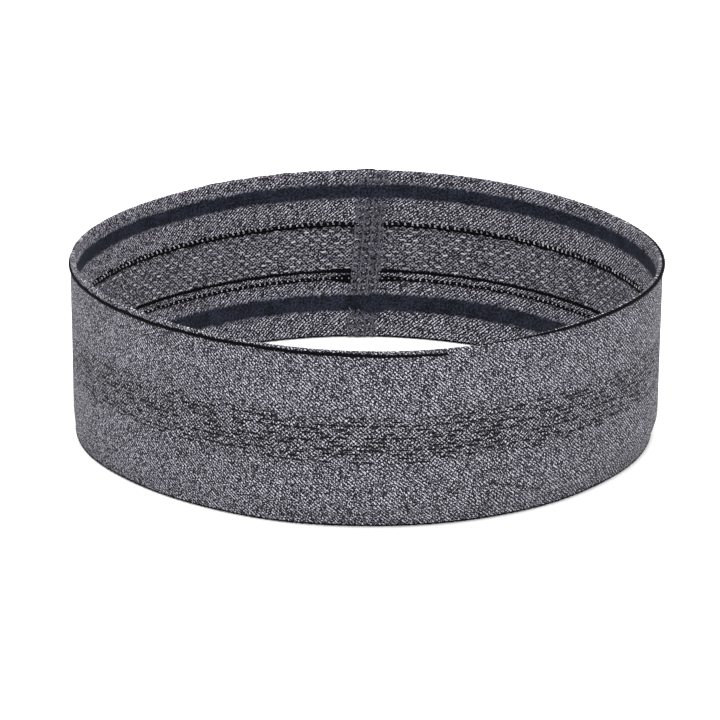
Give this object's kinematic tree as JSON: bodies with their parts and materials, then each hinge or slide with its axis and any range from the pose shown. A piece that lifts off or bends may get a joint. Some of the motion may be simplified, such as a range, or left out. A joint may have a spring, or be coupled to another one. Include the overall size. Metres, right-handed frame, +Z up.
{
  "type": "sports headband",
  "caption": "Stretch knit sports headband: a short round band with printed inner grip strips, contrast edge yarns and a flatlock back seam.",
  "frame": {"origin": "on the band's axis at its lower edge", "axes": "+Z up along the band's axis, +Y towards the back seam, +X to the wearer's side"},
  "size_m": [0.149, 0.149, 0.045],
  "materials": {
    "heather_knit": "jersey and bird's-eye knit in a dark and pale melange yarn",
    "grip_silicone": "thin navy-black silicone print, satin, with rounded edges",
    "black_yarn": "twisted textured filament yarn, black",
    "seam_thread": "soft textured polyester seam thread, slate with a purple cast"
  },
  "bodies": {
    "root": {"knit_band": "heather_knit", "upper_grip_strip": "grip_silicone", "lower_grip_strip": "grip_silicone", "upper_float_yarn": "black_yarn", "lower_float_yarn_1": "black_yarn", "lower_float_yarn_2": "black_yarn", "top_edge_yarn": "black_yarn", "bottom_edge_yarn": "black_yarn", "seam_needle_thread_1": "seam_thread", "seam_needle_thread_2": "seam_thread", "seam_needle_thread_3": "seam_thread", "seam_needle_thread_4": "seam_thread", "seam_looper_thread": "seam_thread", "seam_cover_thread": "seam_thread"}
  },
  "joints": []
}
